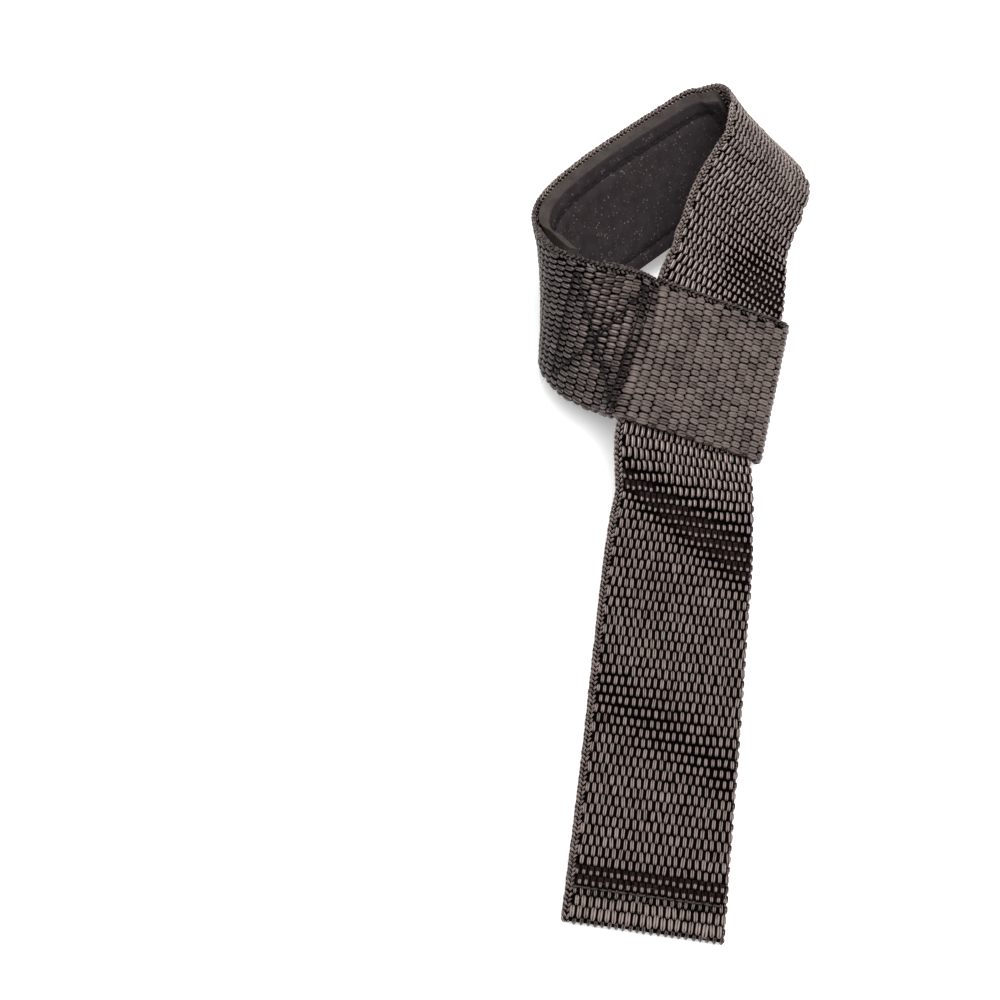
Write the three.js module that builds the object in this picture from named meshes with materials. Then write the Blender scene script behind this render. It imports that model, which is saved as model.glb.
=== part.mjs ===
// Padded lasso lifting strap, lying on a table: millimetres, +Z up, the long tail runs toward -Y.
import * as THREE from "three";

// ---- driving sizes ---------------------------------------------------------
const STRAP_WIDTH = 38;        // 1.5 in webbing
const STRAP_THICK = 2.0;       // heavy polyester webbing
const LAYER_GAP = 0.35;        // air between two layers that lie on each other
const HEM_LENGTH = 9.5;        // tail end folded under and sewn
const FOAM_WIDTH = 36;         // neoprene pad, at its base
const FOAM_THICK = 3.2;        // neoprene without its lining
const FOAM_SLANT = 1.3;        // the cut edge leans in by this much on each side
const LINING_THICK = 0.6;      // knitted lining on the wrist side
const QUILT_INSET = 4.2;       // border seam, measured in from the lining's edge
const QUILT_DEPTH = 0.7;       // how far the border seam draws the pad down
const CONTACT_GAP = 0.3;       // air between two pieces that touch
const SECTION_STEP = 3.0;      // spacing of the cross sections along the webbing
const PAD_STEP = 1.8;          // spacing of the cross sections along the pad

// ---- the crossing, where the tail runs through the eye ----------------------
// place of its middle and the direction of the tail there, in strap widths
const EYE = {
  x: 1.370, y: 0.750, z: 0.425,
  along: [0.28, 0.93, 0.25],     // the tail's own direction
  across: [0.90, -0.12, -0.41],  // from the tail's left edge to its right edge
  turn: 3.5,                     // degrees the eye is turned from square to the tail
  half: 0.51,                    // half length of the straight run under the eye
  fold: 0.475,                   // middle of the fold, right of the crossing
  seam: 0.53,                    // line of stitching, left of the crossing
  sewn: 0.40,                    // webbing sewn back beyond that line
};

// ---- the way of the webbing -------------------------------------------------
// x, y and lift (height of the underside) in strap widths; a* points from the left edge to the right one
const TAIL = [
  { at: "tail end",     x: 0.858, y: -2.948, lift: 0.000, ax: 0.990, ay: -0.140, az:  0.000 },
  { at: "tail middle",  x: 1.000, y: -1.930, lift: 0.000, ax: 0.990, ay: -0.140, az:  0.000 },
  { at: "tail top",     x: 1.135, y: -0.860, lift: 0.000, ax: 0.990, ay: -0.140, az:  0.000 },
  { at: "tail lifts",   x: 1.203, y: -0.330, lift: 0.080, ax: 0.975, ay: -0.140, az: -0.150 },
  { at: "tail turns",   x: 1.236, y: -0.040, lift: 0.175, ax: 0.935, ay: -0.110, az: -0.335 },
];
const LOOP = [
  { at: "leaves the eye", x: 1.557, y: 1.374, lift: 0.555, ax: 0.830, ay: -0.050, az: -0.555 },
  { at: "rises",        x: 1.602, y: 1.574, lift: 0.534, ax: 0.820, ay: -0.030, az: -0.570 },
  { at: "rises more",   x: 1.660, y: 1.822, lift: 0.573, ax: 0.770, ay: 0.020, az: -0.632 },
  { at: "near the top", x: 1.730, y: 1.985, lift: 0.603, ax: 0.770, ay: 0.060, az: -0.632 },
  { at: "top",          x: 1.816, y: 2.144, lift: 0.649, ax: 0.765, ay: 0.110, az: -0.630 },
  { at: "bend starts",  x: 1.880, y: 2.294, lift: 0.688, ax: 0.690, ay: 0.170, az: -0.700 },
  { at: "bend middle",  x: 1.852, y: 2.540, lift: 0.675, ax: 0.500, ay: 0.250, az: -0.830 },
  { at: "bend ends",    x: 1.722, y: 2.645, lift: 0.624, ax: 0.380, ay: 0.020, az: -0.925 },
  { at: "back right",   x: 1.568, y: 2.600, lift: 0.543, ax: 0.380, ay: -0.310, az: -0.870 },
  { at: "back middle",  x: 1.295, y: 2.420, lift: 0.469, ax: 0.400, ay: -0.360, az: -0.840 },
  { at: "back",         x: 1.008, y: 2.201, lift: 0.441, ax: 0.430, ay: -0.385, az: -0.820 },
  { at: "back left",    x: 0.717, y: 1.957, lift: 0.443, ax: 0.420, ay: -0.385, az: -0.820 },
  { at: "left starts",  x: 0.460, y: 1.690, lift: 0.450, ax: 0.360, ay: -0.370, az: -0.855 },
  { at: "left bend",    x: 0.315, y: 1.445, lift: 0.470, ax: 0.160, ay: -0.230, az: -0.960 },
  { at: "left middle",  x: 0.320, y: 1.155, lift: 0.580, ax: -0.100, ay: -0.320, az: -0.940 },
  { at: "left ends",    x: 0.515, y: 0.935, lift: 0.665, ax: -0.290, ay: -0.500, az: -0.810 },
  { at: "front",        x: 0.760, y: 0.840, lift: 0.665, ax: -0.330, ay: -0.750, az: -0.570 },
];

// ---- the pad: from just past the right bend to the left end of the front ----
const PAD = {
  from: "bend middle", past: 0.19,   // start: this far past the station, in strap widths
  to: "left middle", over: 0.03,     // end: this far past the station
};
const PAD_LIFT = [                // clearance under the pad, in layers of webbing, at shares of its length
  { share: 0.00, lift: 0.0 },
  { share: 0.72, lift: 0.0 },
  { share: 1.00, lift: 1.1 },     // it rides over the end that is sewn back
];

// ---- helpers -----------------------------------------------------------------
const vec = (x, y, z) => new THREE.Vector3(x, y, z);
const REACH = STRAP_WIDTH;
const STRAP_EDGE = 0.487; // where the selvage starts to round off, as a share of the width
const rest = STRAP_THICK / 2;

/** One station of the webbing: the middle of its width and the direction across it. */
function station(row) {
  return {
    at: row.at,
    p: vec(row.x * REACH, row.y * REACH, row.lift * REACH + rest),
    a: vec(row.ax, row.ay, row.az).normalize(),
  };
}

const eyeMiddle = vec(EYE.x * REACH, EYE.y * REACH, EYE.z * REACH + rest);
const tailDir = vec(...EYE.along).normalize();
const tailAcross = vec(...EYE.across).addScaledVector(tailDir, -vec(...EYE.across).dot(tailDir)).normalize();
const eyeNormal = tailAcross.clone().cross(tailDir).normalize();
const eyeDir = tailAcross.clone().applyAxisAngle(eyeNormal, THREE.MathUtils.degToRad(EYE.turn)).normalize();
const eyeAcross = eyeDir.clone().cross(eyeNormal).normalize();
const layer = STRAP_THICK + LAYER_GAP;

/** A point of the crossing plane: share of a width along a direction, and a height above the plane. */
const inEye = (dir, share, height) =>
  eyeMiddle.clone().addScaledVector(dir, share * REACH).addScaledVector(eyeNormal, height);

/** Stations of the hem: the cut end under the tail, the turn, and the upper layer. */
function hem(end, next) {
  const dir = next.p.clone().sub(end.p).setZ(0).normalize();
  const a = end.a.clone();
  const r = layer / 2;
  const spot = (along, z) => ({ p: end.p.clone().addScaledVector(dir, along).setZ(z), a: a.clone() });
  const turn = [-75, -45, -15, 15, 45, 75].map((deg) => {
    const q = THREE.MathUtils.degToRad(deg);
    return spot(r + rest - r * Math.cos(q), rest + r + r * Math.sin(q));
  });
  return [
    spot(HEM_LENGTH, rest), spot(HEM_LENGTH * 0.5, rest), spot(r + rest, rest),
    ...turn,
    spot(r + rest, rest + layer), spot(HEM_LENGTH * 0.5, rest + layer), spot(HEM_LENGTH * 0.95, rest + layer * 0.98),
    spot(HEM_LENGTH * 1.35, rest + layer * 0.62), spot(HEM_LENGTH * 1.75, rest + layer * 0.12), spot(HEM_LENGTH * 2.15, rest),
  ];
}

/** Every station in order, from the hem's cut end to the end that is sewn back. */
function stations() {
  const tail = TAIL.map(station);
  const loop = LOOP.map(station);
  const under = [-EYE.half, -EYE.half * 0.3, EYE.half * 0.3, EYE.half].map((u) => ({
    p: inEye(tailDir, u, 0), a: tailAcross.clone(),
  }));
  const over = [
    { at: "seam", p: inEye(eyeDir, -EYE.seam, layer * 0.62), a: eyeAcross.clone() },
    { p: inEye(eyeDir, -EYE.seam * 0.72, layer), a: eyeAcross.clone() },
    { p: inEye(eyeDir, 0, layer), a: eyeAcross.clone() },
    { p: inEye(eyeDir, EYE.fold * 0.8, layer), a: eyeAcross.clone() },
  ];
  const fold = [90, 60, 30, 0, -30, -60, -90].map((deg) => {
    const q = THREE.MathUtils.degToRad(deg);
    return {
      p: inEye(eyeDir, EYE.fold + (layer * Math.cos(q)) / REACH, layer * Math.sin(q)), a: eyeAcross.clone(),
    };
  });
  const back = [
    { p: inEye(eyeDir, EYE.fold * 0.8, -layer), a: eyeAcross.clone() },
    { p: inEye(eyeDir, 0, -layer), a: eyeAcross.clone() },
    { p: inEye(eyeDir, -EYE.seam * 0.72, -layer * 0.98), a: eyeAcross.clone() },
  ];
  return { start: [...hem(tail[0], tail[1]), ...tail.slice(1)], under, loop, over, fold, back };
}

/** Smooth frames through a list of stations: position, across and normal, evenly spaced. */
function frames(list, step) {
  const path = new THREE.CatmullRomCurve3(list.map((s) => s.p), false, "centripetal");
  const side = new THREE.CatmullRomCurve3(list.map((s) => s.a), false, "catmullrom", 0.5);
  const out = [];
  const spans = list.length - 1;
  for (let i = 0; i < spans; i++) {
    const chord = list[i].p.distanceTo(list[i + 1].p);
    const bend = list[i].a.angleTo(list[i + 1].a);
    const n = Math.max(1, Math.round(chord / step + bend * 2));
    for (let k = 0; k < n + (i === spans - 1 ? 1 : 0); k++) {
      const t = (i + k / n) / spans;
      const p = path.getPoint(t);
      const a = side.getPoint(t).normalize();
      // the table holds up its lower edge
      p.z = Math.max(p.z, rest * Math.hypot(a.x, a.y) + STRAP_EDGE * STRAP_WIDTH * Math.abs(a.z));
      out.push({ t, p, a, at: k === 0 ? list[i].at : undefined });
    }
  }
  out[out.length - 1].at = list[spans].at;
  out.forEach((f, i) => {
    const before = out[Math.max(0, i - 1)].p;
    const after = out[Math.min(out.length - 1, i + 1)].p;
    f.d = after.clone().sub(before).normalize();
    f.a.addScaledVector(f.d, -f.a.dot(f.d)).normalize();
    f.n = f.a.clone().cross(f.d).normalize();
  });
  return out;
}

/** The frames of the whole webbing, the sewn back end included. */
function webbingFrames() {
  const s = stations();
  const main = [...s.start, ...s.under, ...s.loop, ...s.over, ...s.fold, ...s.back];
  const all = frames(main, SECTION_STEP);
  // the sewn back end keeps its distance under the front section, step for step
  const seamAt = all.findIndex((f) => f.at === "seam");
  const tuck = [];
  let run = 0;
  for (let i = seamAt; i > 0 && run < EYE.sewn * REACH; i--) {
    const f = all[i];
    tuck.push({ p: f.p.clone().addScaledVector(f.n, -layer), a: f.a.clone(), d: f.d.clone().negate(), n: f.n.clone().negate() });
    run += all[i].p.distanceTo(all[i - 1].p);
  }
  return [...all, ...tuck];
}

/** Sweep a closed outline, given per section as [across, out] pairs, into one closed body. */
function sweep(sections, name, material) {
  const m = sections[0].length;
  const pos = [];
  const idx = [];
  sections.forEach((ring) => ring.forEach((p) => pos.push(p.x, p.y, p.z)));
  for (let i = 0; i < sections.length - 1; i++) {
    for (let j = 0; j < m; j++) {
      const a = i * m + j, b = i * m + ((j + 1) % m), c = a + m, d = b + m;
      if ((i + j) % 2) idx.push(a, b, c, b, d, c);
      else idx.push(a, d, c, a, b, d);
    }
  }
  const cap = (base, flip) => {
    // the outline is a strip: upper row forward, lower row back
    const half = m / 2;
    for (let j = 0; j < half - 1; j++) {
      const a = base + j, b = base + j + 1, c = base + m - 1 - j, d = base + m - 2 - j;
      if (flip) idx.push(a, b, c, b, d, c);
      else idx.push(a, c, b, b, c, d);
    }
  };
  cap(0, false);
  cap((sections.length - 1) * m, true);
  const geometry = new THREE.BufferGeometry();
  geometry.setAttribute("position", new THREE.Float32BufferAttribute(pos, 3));
  geometry.setIndex(idx);
  geometry.computeVertexNormals();
  const mesh = new THREE.Mesh(geometry, material);
  mesh.name = name;
  return mesh;
}

const at = (f, w, n) => f.p.clone().addScaledVector(f.a, w).addScaledVector(f.n, n);

/** Outline of the webbing: flat faces with softly rounded selvages. */
const WEB_OUTLINE = [
  [-0.500, 0.20], [-STRAP_EDGE, 0.42], [-0.455, 0.50], [-0.230, 0.50], [0.000, 0.50], [0.230, 0.50], [0.455, 0.50], [STRAP_EDGE, 0.42], [0.500, 0.20],
];

function webbing() {
  const rings = webbingFrames().map((f) => {
    const up = WEB_OUTLINE.map(([w, n]) => at(f, w * STRAP_WIDTH, n * STRAP_THICK));
    const down = [...WEB_OUTLINE].reverse().map(([w, n]) => at(f, w * STRAP_WIDTH, -n * STRAP_THICK));
    return [...up, ...down];
  });
  return sweep(rings, "webbing_strap", new THREE.MeshStandardMaterial({ color: 0x3a3330, roughness: 0.7 }));
}

/** Frames of the pad on the wrist side of the webbing. */
function padFrames() {
  const s = stations();
  const all = frames([...s.under, ...s.loop, ...s.over], PAD_STEP);
  // the frame at this distance past a station, and the number of the next one
  const cut = (name, extra) => {
    let i = all.findIndex((f) => f.at === name);
    let left = extra * REACH;
    let gap = all[i].p.distanceTo(all[i + 1].p);
    while (left > gap) {
      left -= gap;
      i++;
      gap = all[i].p.distanceTo(all[i + 1].p);
    }
    const mix = (key) => all[i][key].clone().lerp(all[i + 1][key], left / gap);
    return { next: i + 1, frame: { p: mix("p"), a: mix("a").normalize(), n: mix("n").normalize() } };
  };
  const start = cut(PAD.from, PAD.past);
  const end = cut(PAD.to, PAD.over);
  const inner = all.slice(start.next, end.next)
    .filter((f) => Math.min(f.p.distanceTo(start.frame.p), f.p.distanceTo(end.frame.p)) > PAD_STEP / 3);
  const part = [start.frame, ...inner, end.frame];
  let run = 0;
  part.forEach((f, i) => {
    if (i > 0) run += f.p.distanceTo(part[i - 1].p);
    f.run = run;
  });
  part.forEach((f) => {
    f.share = f.run / run;
    f.length = run;
    let k = 0;
    while (k < PAD_LIFT.length - 2 && f.share > PAD_LIFT[k + 1].share) k++;
    const u = THREE.MathUtils.clamp((f.share - PAD_LIFT[k].share) / (PAD_LIFT[k + 1].share - PAD_LIFT[k].share), 0, 1);
    f.under = rest + CONTACT_GAP + layer * THREE.MathUtils.lerp(PAD_LIFT[k].lift, PAD_LIFT[k + 1].lift, u * u * (3 - 2 * u));
  });
  return part;
}

/** How far the border seam draws the wrist side of the pad down at a place. */
function quilt(f, w) {
  const edge = FOAM_WIDTH / 2 - FOAM_SLANT;
  const inward = Math.min(edge - Math.abs(w), f.run, f.length - f.run);
  const groove = Math.exp(-Math.pow((inward - QUILT_INSET) / 1.3, 2)) * QUILT_DEPTH;
  const border = inward < QUILT_INSET ? 0.35 * (1 - inward / QUILT_INSET) : 0;
  return groove + border;
}

const PAD_ACROSS = [-1, -0.88, -0.78, -0.7, -0.5, -0.17, 0.17, 0.5, 0.7, 0.78, 0.88, 1];

function foam(part) {
  const edge = FOAM_WIDTH / 2 - FOAM_SLANT;
  const rings = part.map((f) => {
    const top = PAD_ACROSS.map((u) => at(f, u * edge, -(f.under + FOAM_THICK - quilt(f, u * edge))));
    const base = PAD_ACROSS.map((u) => at(f, (u * FOAM_WIDTH) / 2, -f.under));
    return [...base, ...top.reverse()];
  });
  return sweep(rings, "foam_pad", new THREE.MeshStandardMaterial({ color: 0x5a504c, roughness: 0.95 }));
}

function lining(part) {
  const edge = FOAM_WIDTH / 2 - FOAM_SLANT - 0.1;
  const rings = part.map((f) => {
    const low = (u) => f.under + FOAM_THICK - quilt(f, u * edge) + CONTACT_GAP;
    const inner = PAD_ACROSS.map((u) => at(f, u * edge, -low(u)));
    const outer = [...PAD_ACROSS].reverse().map((u) => at(f, u * edge, -(low(u) + LINING_THICK)));
    return [...inner, ...outer];
  });
  return sweep(rings, "pad_lining", new THREE.MeshStandardMaterial({ color: 0x37302f, roughness: 0.9 }));
}

// ---- assembly, centred over the origin and set down on the table -------------
const strap = new THREE.Group();
strap.name = "lifting_strap";
const pad = padFrames();
strap.add(webbing(), foam(pad), lining(pad));

const box = new THREE.Box3().setFromObject(strap);
const centre = box.getCenter(vec(0, 0, 0));
strap.children.forEach((mesh) => mesh.geometry.translate(-centre.x, -centre.y, -box.min.z));

export default strap;
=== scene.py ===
"""A padded lasso lifting strap on a pale table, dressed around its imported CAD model.

The webbing follows the route of the CAD solid, smoothed near the upper right bend.  Its weave is
real geometry: two raised grains of yarn are modelled, a pill for the tail and the loop and a leaf
for the front and the eye.  They are laid in brick bond over both faces, with slanted grains along
the selvages.  The neoprene pad, its knitted lining, the stitching and the loose fibres are
separate pieces.  Sizes are in millimetres until a mesh is written, and in metres from there on.
"""

import logging
import math
from collections.abc import Callable
from dataclasses import dataclass, field, fields
from enum import Enum
from functools import cached_property

import bpy
import numpy as np
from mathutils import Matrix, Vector

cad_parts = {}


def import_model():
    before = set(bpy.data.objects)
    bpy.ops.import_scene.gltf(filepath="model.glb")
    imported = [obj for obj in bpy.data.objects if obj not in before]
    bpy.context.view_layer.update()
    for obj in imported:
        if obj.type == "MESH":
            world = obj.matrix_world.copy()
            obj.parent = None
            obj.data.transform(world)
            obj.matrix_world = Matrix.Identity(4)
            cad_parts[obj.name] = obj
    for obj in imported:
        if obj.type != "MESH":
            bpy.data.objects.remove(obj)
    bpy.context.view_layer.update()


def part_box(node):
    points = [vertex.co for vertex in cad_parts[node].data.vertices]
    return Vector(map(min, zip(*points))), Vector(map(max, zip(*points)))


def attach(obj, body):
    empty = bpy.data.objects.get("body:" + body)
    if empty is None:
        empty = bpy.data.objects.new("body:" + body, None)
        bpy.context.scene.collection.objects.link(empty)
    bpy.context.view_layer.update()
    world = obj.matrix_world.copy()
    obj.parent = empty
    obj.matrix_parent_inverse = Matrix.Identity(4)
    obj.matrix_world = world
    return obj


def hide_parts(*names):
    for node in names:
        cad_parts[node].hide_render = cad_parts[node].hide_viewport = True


log = logging.getLogger("lifting_strap")

Tree = bpy.types.NodeTree
Node = bpy.types.Node
Socket = bpy.types.NodeSocket
Colour = tuple[float, float, float]
Shape = tuple[np.ndarray, list[list[int]]]

MM = 0.001
BODY = "root"
WEAVE_MAP = "weave"
TONE = "tone"
ACROSS = "across"
TONE_RANGE = (-0.4, 1.2)
YARN_SHEEN = (1.0, 0.86, 0.82, 1.0)
# near-black painted shade for the gaps between the grains
PAINTED_GAP_SHADE = (0.0006, 0.0003, 0.0003, 1)


# Finishes


@dataclass(frozen=True)
class Finish:
    """What every finish of the strap has."""

    name: str
    dark: Colour
    light: Colour
    roughness: float
    relief: float


@dataclass(frozen=True)
class YarnFinish(Finish):
    """A yarn of many fine filaments: woven grains, selvages and sewing thread."""

    filaments: float
    gloss: float
    # share of the strands' painted highlight and shade in the colour
    painted_strand_light: float = 0.0


@dataclass(frozen=True)
class FoamFinish(Finish):
    """Cut closed-cell neoprene: matt, finely pored, slightly mottled."""

    pores: float


@dataclass(frozen=True)
class KnitFinish(Finish):
    """Fine knitted face cloth with rib lines and light speckles."""

    ribs: float


GRAIN_YARN = YarnFinish(
    "webbing grain yarn", dark=(0.0035, 0.0019, 0.0018), light=(0.258, 0.201, 0.184),
    roughness=0.34, filaments=5.5, relief=0.45, gloss=0.50, painted_strand_light=0.56)
# a copy of the grain yarn for the front and the eye, its colour dimmer and its strands' painted highlight
# weaker: painted light and shade for how the light falls there
FRONT_YARN_PAINTED_LIGHT = YarnFinish(
    "webbing front yarn", dark=(0.004, 0.002, 0.002), light=(0.165, 0.129, 0.118),
    roughness=0.38, filaments=5.5, relief=0.45, gloss=0.40, painted_strand_light=0.22)
# the ground under the grains: dark nylon, its colour kept well below the grains' as painted shade between
# them
CORE_YARN_PAINTED_SHADE = YarnFinish(
    "webbing ground yarn", dark=(0.0004, 0.0002, 0.0002), light=(0.050, 0.033, 0.031),
    roughness=0.85, filaments=4.0, relief=0.4, gloss=0.02)
SEWING_THREAD = YarnFinish(
    "sewing thread", dark=(0.028, 0.021, 0.019), light=(0.110, 0.086, 0.078),
    roughness=0.42, filaments=9.0, relief=0.3, gloss=0.45)
QUILT_THREAD = YarnFinish(
    "quilting thread", dark=(0.006, 0.005, 0.006), light=(0.022, 0.018, 0.019),
    roughness=0.70, filaments=9.0, relief=0.3, gloss=0.15)
NEOPRENE = FoamFinish(
    "cut neoprene", dark=(0.031, 0.025, 0.023), light=(0.052, 0.042, 0.038),
    roughness=0.92, pores=3.2, relief=0.35)
LINING = KnitFinish(
    "lining knit", dark=(0.008, 0.005, 0.006), light=(0.130, 0.105, 0.108),
    roughness=0.88, ribs=1.5, relief=0.5)


def wire(tree: Tree, *pairs: tuple[Socket, Socket]) -> None:
    """Join each pair of sockets."""
    for source, target in pairs:
        tree.links.new(source, target)


def set_inputs(node: Node, values: dict[str, float]) -> None:
    """Set plain values on a node's inputs."""
    for name, value in values.items():
        node.inputs[name].default_value = value


def math_node(tree: Tree, operation: str, factor: float = 1.0, plus: float = 0.0) -> Node:
    """Place a math node.

    Args:
        tree: the material's tree.
        operation: what it does.
        factor: its second input, where nothing is joined to it.
        plus: its third input, where nothing is joined to it.

    Returns:
        The node.
    """
    node = tree.nodes.new("ShaderNodeMath")
    node.operation = operation
    node.inputs[1].default_value, node.inputs[2].default_value = factor, plus
    return node


def group_node(tree: Tree, group: Tree, **values: float) -> Node:
    """Place a group node and set its plain inputs."""
    node = tree.nodes.new("ShaderNodeGroup")
    node.node_tree = group
    set_inputs(node, values)
    return node


def ramp_node(tree: Tree, dark: Colour, light: Colour, low: float, high: float) -> Node:
    """A two-colour ramp.

    Args:
        tree: the material's tree.
        dark: colour at low.
        light: colour at high.
        low: where the dark end stands.
        high: where the light end stands.

    Returns:
        The ramp node.
    """
    ramp = tree.nodes.new("ShaderNodeValToRGB")
    for end, place, colour in zip(ramp.color_ramp.elements, (low, high), (dark, light)):
        end.position, end.color = place, (*colour, 1)
    return ramp


def add_relief(tree: Tree, shader: Node, height: Socket, strength: float, depth: float) -> None:
    """Let a height bump the shader's normal.

    Args:
        tree: the material's tree.
        shader: the Principled shader.
        height: the socket that gives the height.
        strength: strength of the bump.
        depth: depth of the bump, in millimetres.
    """
    bump = tree.nodes.new("ShaderNodeBump")
    set_inputs(bump, {"Strength": strength, "Distance": depth * MM})
    wire(tree, (height, bump.inputs["Height"]), (bump.outputs[0], shader.inputs["Normal"]))


def new_material(name: str, roughness: float, gloss: float) -> tuple[bpy.types.Material, Tree, Node]:
    """An empty node material with a Principled shader.

    Args:
        name: the material's name.
        roughness: the roughness set on the shader's own socket.
        gloss: the specular level set on the shader's own socket.

    Returns:
        The material, its node tree and the shader node.
    """
    material = bpy.data.materials.new(name)
    material.use_nodes = True
    tree = material.node_tree
    shader = tree.nodes["Principled BSDF"]
    set_inputs(shader, {"Roughness": roughness, "Specular IOR Level": gloss})
    return material, tree, shader


def open_group(name: str, inputs: dict[str, str], output: str) -> tuple[Tree, Node, Node]:
    """Start a node group.

    Args:
        name: the group's name.
        inputs: kind of each input's socket, Vector or Float.
        output: name of its one output, a number.

    Returns:
        The group, and the nodes where its inputs enter and its output leaves.
    """
    tree = bpy.data.node_groups.new(name, "ShaderNodeTree")
    for title, kind in inputs.items():
        tree.interface.new_socket(title, in_out="INPUT", socket_type="NodeSocket" + kind)
    tree.interface.new_socket(output, in_out="OUTPUT", socket_type="NodeSocketFloat")
    return tree, tree.nodes.new("NodeGroupInput"), tree.nodes.new("NodeGroupOutput")


class Shade:
    """Builds the shader node groups and the materials of the strap."""

    @cached_property
    def mottle(self) -> Tree:
        """Soft uneven tone at two scales: Vector and Scale in, Mask out."""
        tree, enter, leave = open_group("mottle", {"Vector": "Vector", "Scale": "Float"}, "Mask")
        coarse, fine = tree.nodes.new("ShaderNodeTexNoise"), tree.nodes.new("ShaderNodeTexNoise")
        times, share = math_node(tree, "MULTIPLY", 6.0), math_node(tree, "MULTIPLY", 0.65)
        mix = math_node(tree, "MULTIPLY_ADD", 0.35)
        wire(tree,
             (enter.outputs["Vector"], coarse.inputs["Vector"]),
             (enter.outputs["Vector"], fine.inputs["Vector"]),
             (enter.outputs["Scale"], coarse.inputs["Scale"]),
             (enter.outputs["Scale"], times.inputs[0]),
             (times.outputs[0], fine.inputs["Scale"]),
             (coarse.outputs[0], share.inputs[0]),
             (fine.outputs[0], mix.inputs[0]),
             (share.outputs[0], mix.inputs[2]),
             (mix.outputs[0], leave.inputs["Mask"]))
        return tree

    @cached_property
    def filaments(self) -> Tree:
        """Fine lines that run along a yarn: Vector (across, along) and Count in, Lines out."""
        tree, enter, leave = open_group("filaments", {"Vector": "Vector", "Count": "Float"}, "Lines")
        stretch, noise = tree.nodes.new("ShaderNodeMapping"), tree.nodes.new("ShaderNodeTexNoise")
        stretch.inputs["Scale"].default_value = (1.0, 0.12, 1.0)
        noise.inputs["Detail"].default_value = 2.0
        wire(tree,
             (enter.outputs["Vector"], stretch.inputs["Vector"]),
             (stretch.outputs[0], noise.inputs["Vector"]),
             (enter.outputs["Count"], noise.inputs["Scale"]),
             (noise.outputs[0], leave.inputs["Lines"]))
        return tree

    @cached_property
    def strands(self) -> Tree:
        """Two strands in one yarn, painted light on their crests, painted shade between them and at its
        edges: Across in, Crest out.
        """
        tree, enter, leave = open_group("strands", {"Across": "Float"}, "Crest")
        turn, wave = math_node(tree, "MULTIPLY", 2 * math.pi), math_node(tree, "COSINE")
        crest = math_node(tree, "MULTIPLY_ADD", -0.5, 0.5)
        wire(tree,
             (enter.outputs["Across"], turn.inputs[0]),
             (turn.outputs[0], wave.inputs[0]),
             (wave.outputs[0], crest.inputs[0]),
             (crest.outputs[0], leave.inputs["Crest"]))
        return tree

    def yarn(self, finish: YarnFinish) -> bpy.types.Material:
        """Yarn: tone per grain, with light and shade painted by zone, painted highlight and shade across its
        strands, filament lines along it, slight gloss.

        Args:
            finish: the finish's values.

        Returns:
            The material.
        """
        material, tree, shader = new_material(finish.name, finish.roughness, finish.gloss)
        shader.inputs["Specular Tint"].default_value = YARN_SHEEN
        place = tree.nodes.new("ShaderNodeUVMap")
        place.uv_map = WEAVE_MAP
        tone, across = tree.nodes.new("ShaderNodeAttribute"), tree.nodes.new("ShaderNodeAttribute")
        tone.attribute_name, across.attribute_name = TONE, ACROSS
        strands = group_node(tree, self.strands)
        lines = group_node(tree, self.filaments, Count=finish.filaments)
        mottle = group_node(tree, self.mottle, Scale=0.09)
        wire(tree,
             (across.outputs["Fac"], strands.inputs["Across"]),
             (place.outputs["UV"], lines.inputs["Vector"]),
             (place.outputs["UV"], mottle.inputs["Vector"]))
        # tone of the grain with its painted light and shade by zone, its strands' painted highlight and
        # shade, its filaments and a soft mottle of the whole cloth
        total = None
        for source, share in ((tone.outputs["Fac"], 0.34), (strands.outputs["Crest"], finish.painted_strand_light),
                              (lines.outputs["Lines"], 0.40), (mottle.outputs["Mask"], 0.26)):
            step = math_node(tree, "MULTIPLY_ADD", share)
            wire(tree, (source, step.inputs[0]))
            if total is not None:
                wire(tree, (total.outputs[0], step.inputs[2]))
            total = step
        ramp = ramp_node(tree, finish.dark, finish.light, 0.60, 1.0)
        height = math_node(tree, "MULTIPLY_ADD", 1.2)
        wire(tree,
             (total.outputs[0], ramp.inputs[0]),
             (ramp.outputs["Color"], shader.inputs["Base Color"]),
             (strands.outputs["Crest"], height.inputs[0]),
             (lines.outputs["Lines"], height.inputs[2]))
        add_relief(tree, shader, height.outputs[0], finish.relief, 0.12)
        return material

    def gaps(self, material: bpy.types.Material, start: float, step: float, pitch: float) -> None:
        """Paint near-black shade into the gaps between the grains of a ground material, in brick bond.

        Args:
            material: the ground's material.
            start: distance across of the first grain.
            step: distance from grain to grain across.
            pitch: distance from row to row.
        """
        tree = material.node_tree
        shader = tree.nodes["Principled BSDF"]
        colour = shader.inputs["Base Color"].links[0].from_socket
        place, move, brick, mix = (tree.nodes.new(kind) for kind in (
            "ShaderNodeUVMap", "ShaderNodeMapping", "ShaderNodeTexBrick", "ShaderNodeMix"))
        place.uv_map = WEAVE_MAP
        move.inputs["Location"].default_value = (-start, 0, 0)
        set_inputs(brick, {"Scale": 1.0, "Brick Width": step, "Row Height": pitch,
                           "Mortar Size": 0.34, "Mortar Smooth": 0.7})
        mix.data_type = "RGBA"
        # painted shade: near black in the brick's mortar, the gaps between the grains
        mix.inputs[7].default_value = PAINTED_GAP_SHADE
        wire(tree,
             (place.outputs["UV"], move.inputs["Vector"]),
             (move.outputs["Vector"], brick.inputs["Vector"]),
             (brick.outputs["Fac"], mix.inputs[0]),
             (colour, mix.inputs[6]),
             (mix.outputs[2], shader.inputs["Base Color"]))

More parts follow.
